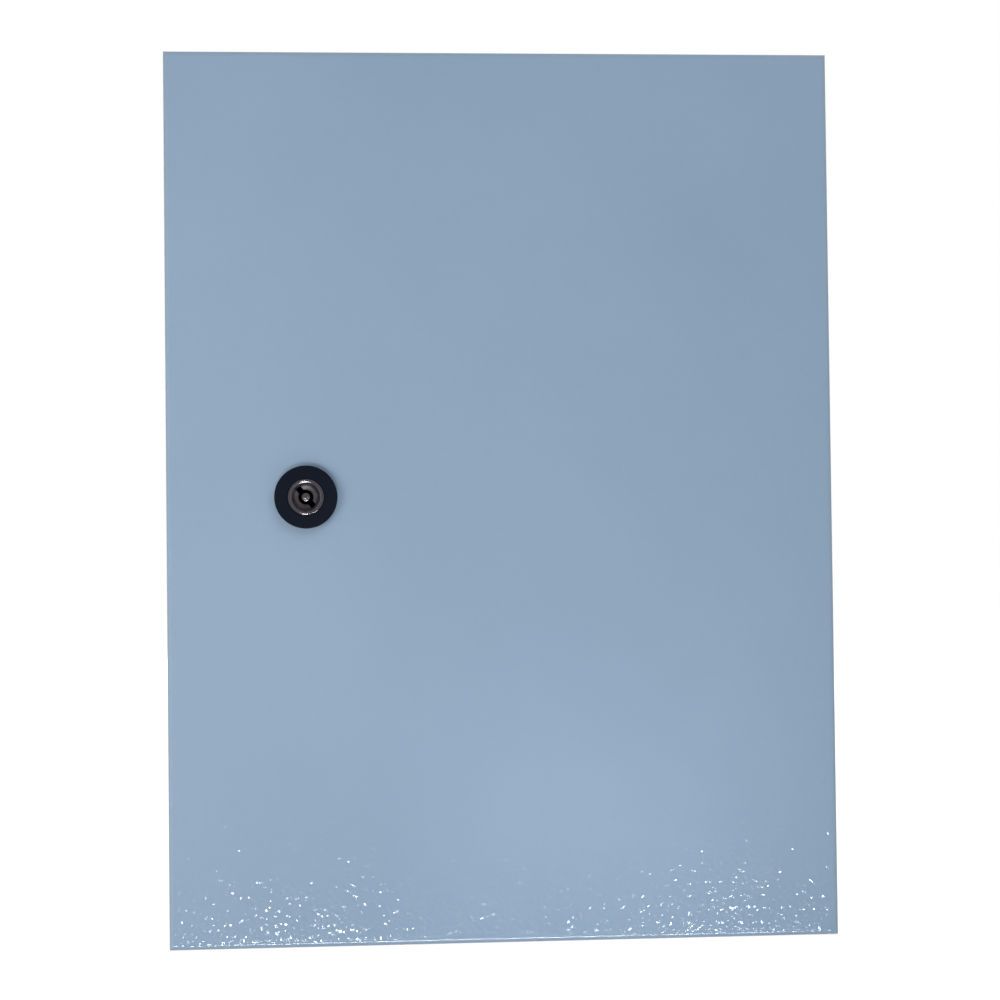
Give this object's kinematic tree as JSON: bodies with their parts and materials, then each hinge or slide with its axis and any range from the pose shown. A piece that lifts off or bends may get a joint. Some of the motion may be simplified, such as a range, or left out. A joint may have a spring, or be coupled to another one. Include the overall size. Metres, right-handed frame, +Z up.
{
  "type": "wall-mount sheet-steel enclosure",
  "caption": "Rectangular wall-mounting sheet-steel enclosure with a hinged, gasketed door, quarter-turn lock, mounting plate and bottom gland plate.",
  "frame": {"origin": "middle of the four wall-fixing holes, on the rear face that lies on the wall", "axes": "+X to the right and +Z up seen from in front of the door, +Y back into the wall"},
  "size_m": [0.3, 0.2044, 0.4],
  "materials": {
    "blue_grey_coat": "fine structured powder coat",
    "galvanised_plate": "galvanised",
    "zinc_fasteners": "bright zinc",
    "seal_foam": "matte",
    "black_lock_body": "satin",
    "dark_die_cast": "satin die cast"
  },
  "bodies": {
    "enclosure": {"body_shell": "blue_grey_coat", "rear_panel": "blue_grey_coat", "mounting_plate": "galvanised_plate", "plate_studs": "zinc_fasteners", "plate_spacers": "zinc_fasteners", "plate_nuts": "zinc_fasteners", "gland_plate": "blue_grey_coat", "gland_gasket": "seal_foam", "gland_studs": "zinc_fasteners", "gland_nuts": "zinc_fasteners", "body_earth_stud": "zinc_fasteners", "body_earth_nut": "zinc_fasteners", "hinge_upper_bracket": "blue_grey_coat", "hinge_lower_bracket": "blue_grey_coat", "hinge_upper_pin": "zinc_fasteners", "hinge_lower_pin": "zinc_fasteners"},
    "door": {"door_panel": "blue_grey_coat", "door_gasket": "seal_foam", "door_hinge_upper": "blue_grey_coat", "door_hinge_lower": "blue_grey_coat", "lock_housing": "black_lock_body", "lock_nut": "zinc_fasteners", "door_earth_stud": "zinc_fasteners", "door_earth_nut": "zinc_fasteners"},
    "lock_core": {"lock_insert": "dark_die_cast", "lock_cam": "zinc_fasteners", "lock_cam_bolt": "zinc_fasteners"}
  },
  "joints": [
    {"name": "door_swing", "type": "hinge", "parent": "enclosure", "child": "door", "pos_m": [0.143, -0.193, 0], "axis": [0, 0, 1], "range_deg": [0, 120]},
    {"name": "lock_turn", "type": "hinge", "parent": "door", "child": "lock_core", "pos_m": [-0.088, -0.2, 0], "axis": [0, 1, 0], "range_deg": [0, 90]}
  ]
}
